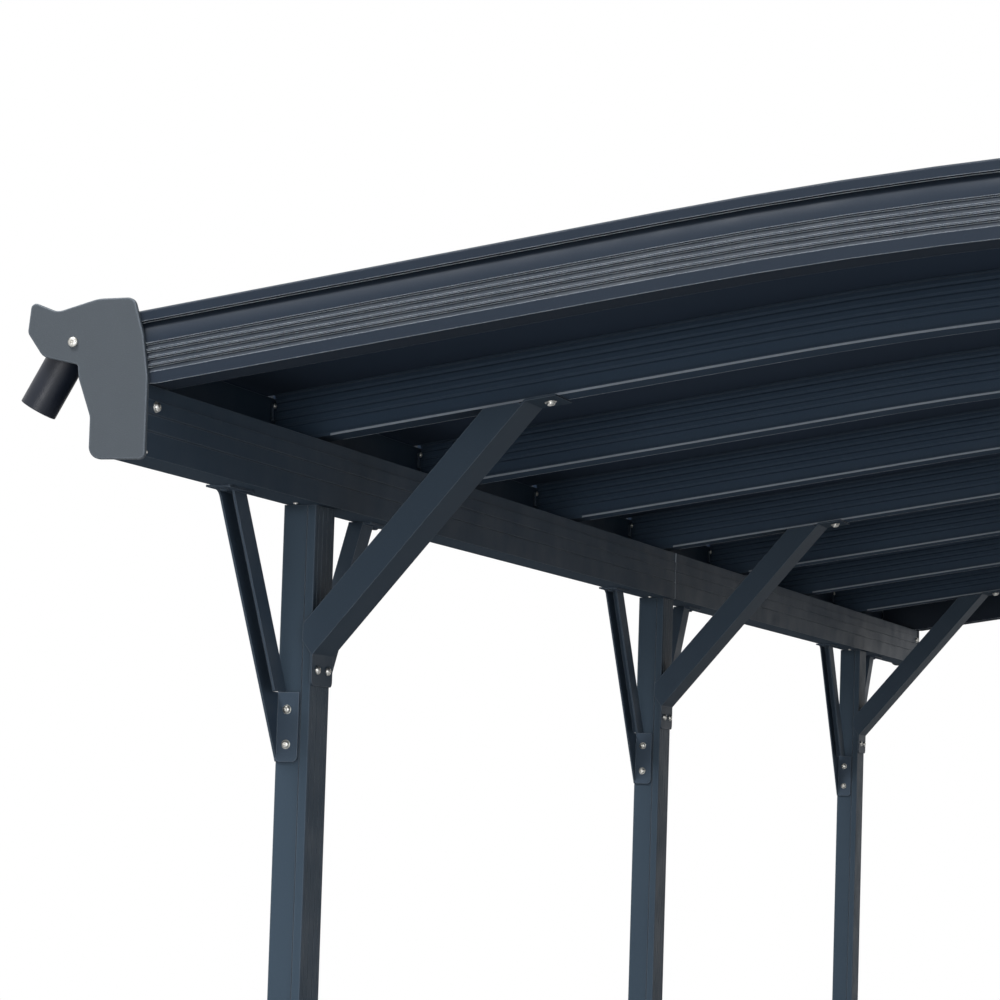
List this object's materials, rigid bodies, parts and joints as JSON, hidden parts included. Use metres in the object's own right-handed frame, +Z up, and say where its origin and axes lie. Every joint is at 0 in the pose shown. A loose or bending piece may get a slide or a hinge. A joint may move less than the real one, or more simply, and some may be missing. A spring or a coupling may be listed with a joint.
{
  "type": "carport",
  "caption": "Open carport: an arched panel roof on ribbed arches, carried by eave beams with gutters on slender braced posts.",
  "frame": {"origin": "on the ground, at the middle of the carport", "axes": "+Y along the carport from front to rear, +X across to the right, +Z up"},
  "size_m": [3.668, 5.032, 2.4197],
  "materials": {
    "frame_paint": "fine-textured anthracite powder coat on aluminium extrusions",
    "brace_paint": "smooth anthracite powder coat on folded sheet",
    "gutter_paint": "anthracite powder coat on the gutter extrusion",
    "cap_plastic": "moulded slate grey end cap",
    "roof_sheet": "smoke-tinted twin-wall roof sheet, opaque to the eye",
    "spout_plastic": "black moulded outlet",
    "foot_steel": "anthracite coated anchor plates"
  },
  "bodies": {
    "root": {"end_cap_left_front": "cap_plastic", "end_cap_left_rear": "cap_plastic", "end_cap_right_front": "cap_plastic", "end_cap_right_rear": "cap_plastic", "foot_plates_left": "foot_steel", "foot_plates_right": "foot_steel", "front_arch": "frame_paint", "gutter_left": "gutter_paint", "gutter_right": "gutter_paint", "knee_braces_left_front": "brace_paint", "knee_braces_left_middle": "brace_paint", "knee_braces_left_rear": "brace_paint", "knee_braces_right_front": "brace_paint", "knee_braces_right_middle": "brace_paint", "knee_braces_right_rear": "brace_paint", "post_left_front": "frame_paint", "post_left_middle": "frame_paint", "post_left_rear": "frame_paint", "post_right_front": "frame_paint", "post_right_middle": "frame_paint", "post_right_rear": "frame_paint", "rafter_1": "frame_paint", "rafter_2": "frame_paint", "rafter_3": "frame_paint", "rafter_4": "frame_paint", "rafter_5": "frame_paint", "rafter_6": "frame_paint", "rafter_7": "frame_paint", "rafter_braces_left": "brace_paint", "rafter_braces_right": "brace_paint", "rear_arch": "frame_paint", "roof_panel_1": "roof_sheet", "roof_panel_2": "roof_sheet", "roof_panel_3": "roof_sheet", "roof_panel_4": "roof_sheet", "roof_panel_5": "roof_sheet", "roof_panel_6": "roof_sheet", "roof_panel_7": "roof_sheet", "roof_panel_8": "roof_sheet", "side_beam_left_front": "frame_paint", "side_beam_left_rear": "frame_paint", "side_beam_right_front": "frame_paint", "side_beam_right_rear": "frame_paint", "spout_left": "spout_plastic", "spout_right": "spout_plastic"}
  },
  "joints": []
}
